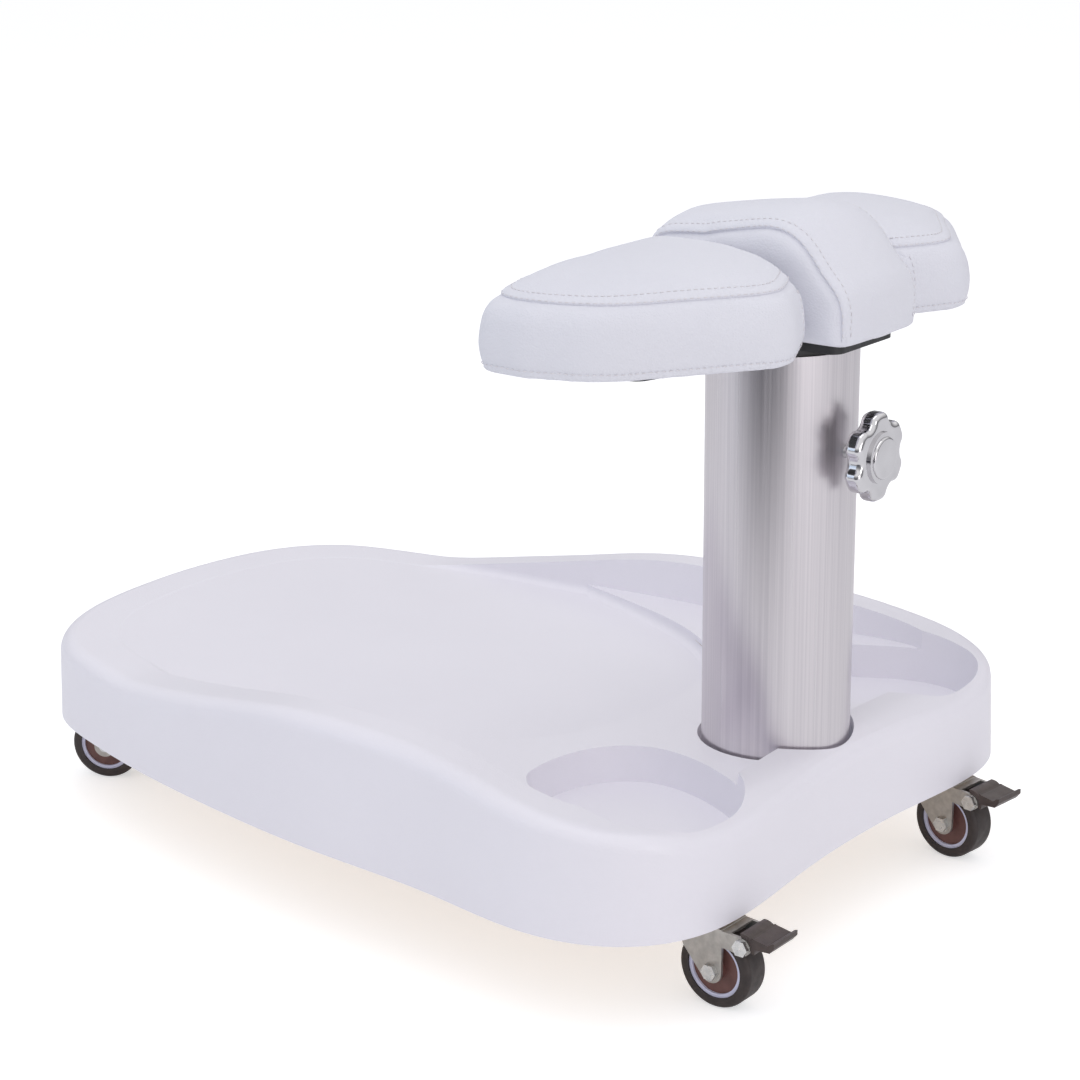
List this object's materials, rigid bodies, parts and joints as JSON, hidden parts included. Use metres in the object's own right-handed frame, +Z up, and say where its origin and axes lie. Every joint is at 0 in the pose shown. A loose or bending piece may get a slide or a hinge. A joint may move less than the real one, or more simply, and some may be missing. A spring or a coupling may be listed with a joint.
{
  "type": "pedicure footrest",
  "caption": "Wheeled footrest with a moulded tray base, a brushed column that slides and turns, and a cushioned half-moon leg rest in three pads clamped by a lobed knob.",
  "frame": {"origin": "middle of the whole footrest's plan on the floor", "axes": "+X from the foot platform to the column end, +Y to the far side, +Z up"},
  "size_m": [0.6573, 0.4605, 0.4593],
  "materials": {
    "white_shell": "semi-gloss moulded plastic with a fine grain",
    "board_ply": "sealed plywood",
    "zinc": "bright zinc plate",
    "column_metal": "brushed lengthwise, satin",
    "steel_plate": "black powder coat",
    "post_metal": "drawn tube, satin",
    "bush_plastic": "self-lubricating plastic",
    "chrome_knob": "polished chrome",
    "cap_metal": "satin chrome",
    "pad_leather": "white imitation leather, fine grain, soft sheen",
    "pad_board_black": "black painted panel",
    "fork_steel": "satin zinc plate",
    "wheel_core_plastic": "moulded plastic",
    "wheel_ring_plastic": "moulded plastic",
    "tyre_rubber": "soft tread rubber",
    "pedal_plastic": "moulded nylon",
    "spring_steel": "blued leaf spring"
  },
  "bodies": {
    "base": {"base_shell": "white_shell", "base_board": "board_ply", "shell_screws": "zinc", "column_tube": "column_metal", "column_flange": "steel_plate", "flange_bolts": "zinc", "flange_nuts": "zinc", "upper_guide_bush": "bush_plastic", "clamp_nut": "zinc", "stem_bolts": "zinc", "stem_nuts": "zinc", "race_balls": "spring_steel", "near_right_race_cup": "zinc", "far_right_race_cup": "zinc", "near_left_race_cup": "zinc", "far_left_race_cup": "zinc"},
    "lift": {"lower_guide_bush": "bush_plastic"},
    "head": {"lift_post": "post_metal", "head_plate": "steel_plate", "head_bolts": "zinc", "pad_board": "pad_board_black", "near_pad": "pad_leather", "middle_pad": "pad_leather", "far_pad": "pad_leather", "pad_screws": "zinc"},
    "clamp": {"pressure_pad": "bush_plastic"},
    "knob": {"clamp_screw": "post_metal", "knob": "chrome_knob", "knob_cap": "cap_metal"},
    "near_right_swivel": {"near_right_fork": "fork_steel", "near_right_axle": "zinc", "near_right_pedal_bolt": "zinc", "near_right_brake_spring": "spring_steel"},
    "near_right_wheel": {"near_right_wheel_core": "wheel_core_plastic", "near_right_wheel_ring": "wheel_ring_plastic", "near_right_tyre": "tyre_rubber"},
    "near_right_pedal": {"near_right_brake_pedal": "pedal_plastic"},
    "far_right_swivel": {"far_right_fork": "fork_steel", "far_right_axle": "zinc", "far_right_pedal_bolt": "zinc", "far_right_brake_spring": "spring_steel"},
    "far_right_wheel": {"far_right_wheel_core": "wheel_core_plastic", "far_right_wheel_ring": "wheel_ring_plastic", "far_right_tyre": "tyre_rubber"},
    "far_right_pedal": {"far_right_brake_pedal": "pedal_plastic"},
    "near_left_swivel": {"near_left_fork": "fork_steel", "near_left_axle": "zinc"},
    "near_left_wheel": {"near_left_wheel_core": "wheel_core_plastic", "near_left_wheel_ring": "wheel_ring_plastic", "near_left_tyre": "tyre_rubber"},
    "far_left_swivel": {"far_left_fork": "fork_steel", "far_left_axle": "zinc"},
    "far_left_wheel": {"far_left_wheel_core": "wheel_core_plastic", "far_left_wheel_ring": "wheel_ring_plastic", "far_left_tyre": "tyre_rubber"}
  },
  "joints": [
    {"name": "lift_slide", "type": "slide", "parent": "base", "child": "lift", "axis": [0, 0, 1], "range_m": [0, 0.13]},
    {"name": "head_turn", "type": "hinge", "parent": "lift", "child": "head", "pos_m": [0.22835, 0, 0.4], "axis": [0, 0, 1], "continuous": true},
    {"name": "clamp_slide", "type": "slide", "parent": "base", "child": "clamp", "axis": [1, 0, 0], "range_m": [0, 0.00125]},
    {"name": "knob_turn", "type": "hinge", "parent": "clamp", "child": "knob", "pos_m": [0.28835, 0, 0.3085], "axis": [1, 0, 0], "range_deg": [0, 360]},
    {"name": "near_right_swivel_turn", "type": "hinge", "parent": "base", "child": "near_right_swivel", "pos_m": [0.26585, -0.139, 0.055], "axis": [0, 0, 1], "continuous": true},
    {"name": "near_right_wheel_turn", "type": "hinge", "parent": "near_right_swivel", "child": "near_right_wheel", "pos_m": [0.28385, -0.139, 0.025], "axis": [0, 1, 0], "continuous": true},
    {"name": "near_right_pedal_tilt", "type": "hinge", "parent": "near_right_swivel", "child": "near_right_pedal", "pos_m": [0.30565, -0.139, 0.0466], "axis": [0, 1, 0], "range_deg": [0, 14]},
    {"name": "far_right_swivel_turn", "type": "hinge", "parent": "base", "child": "far_right_swivel", "pos_m": [0.26585, 0.139, 0.055], "axis": [0, 0, 1], "continuous": true},
    {"name": "far_right_wheel_turn", "type": "hinge", "parent": "far_right_swivel", "child": "far_right_wheel", "pos_m": [0.28374, 0.13702, 0.025], "axis": [0.1097, 0.994, 0], "continuous": true},
    {"name": "far_right_pedal_tilt", "type": "hinge", "parent": "far_right_swivel", "child": "far_right_pedal", "pos_m": [0.30541, 0.13463, 0.0466], "axis": [0.1097, 0.994, 0], "range_deg": [0, 14]},
    {"name": "near_left_swivel_turn", "type": "hinge", "parent": "base", "child": "near_left_swivel", "pos_m": [-0.26165, -0.096, 0.055], "axis": [0, 0, 1], "continuous": true},
    {"name": "near_left_wheel_turn", "type": "hinge", "parent": "near_left_swivel", "child": "near_left_wheel", "pos_m": [-0.27754, -0.10445, 0.025], "axis": [0.4695, -0.8829, 0], "continuous": true},
    {"name": "far_left_swivel_turn", "type": "hinge", "parent": "base", "child": "far_left_swivel", "pos_m": [-0.26165, 0.096, 0.055], "axis": [0, 0, 1], "continuous": true},
    {"name": "far_left_wheel_turn", "type": "hinge", "parent": "far_left_swivel", "child": "far_left_wheel", "pos_m": [-0.27904, 0.10066, 0.025], "axis": [-0.2588, -0.9659, 0], "continuous": true}
  ],
  "couplings": [
    {"joint": "clamp_slide", "follows": "knob_turn", "m_per_rad": 0.00019894}
  ]
}
